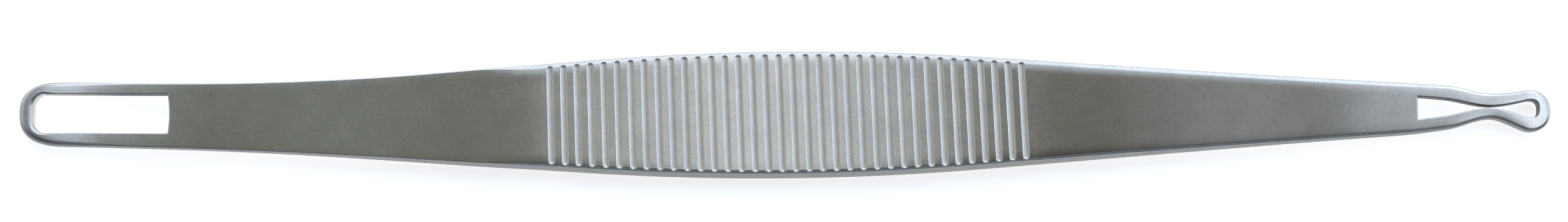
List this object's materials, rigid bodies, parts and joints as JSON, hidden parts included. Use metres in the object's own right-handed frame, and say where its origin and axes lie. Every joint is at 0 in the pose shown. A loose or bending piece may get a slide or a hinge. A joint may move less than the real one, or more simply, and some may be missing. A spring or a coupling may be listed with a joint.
{
  "type": "blackhead extractor",
  "caption": "Flat steel blackhead extractor: a long open loop at one end, a pinched teardrop loop at the other, and a cross-grooved belly between them as the grip.",
  "frame": {"origin": "middle of the tool's length and width, on the flat back of the grip that it lies on", "axes": "+X along the tool towards the small teardrop loop, +Z out of the front face, +Y across the tool"},
  "size_m": [0.095, 0.0078, 0.0022],
  "materials": {
    "satin_steel": "satin ground stainless steel, cross-grooved",
    "brushed_steel": "stainless steel brushed lengthwise",
    "polished_steel": "fine polished stainless steel"
  },
  "bodies": {
    "root": {"grip": "satin_steel", "large_shank": "brushed_steel", "small_shank": "brushed_steel", "large_loop": "polished_steel", "small_loop": "polished_steel"}
  },
  "joints": []
}
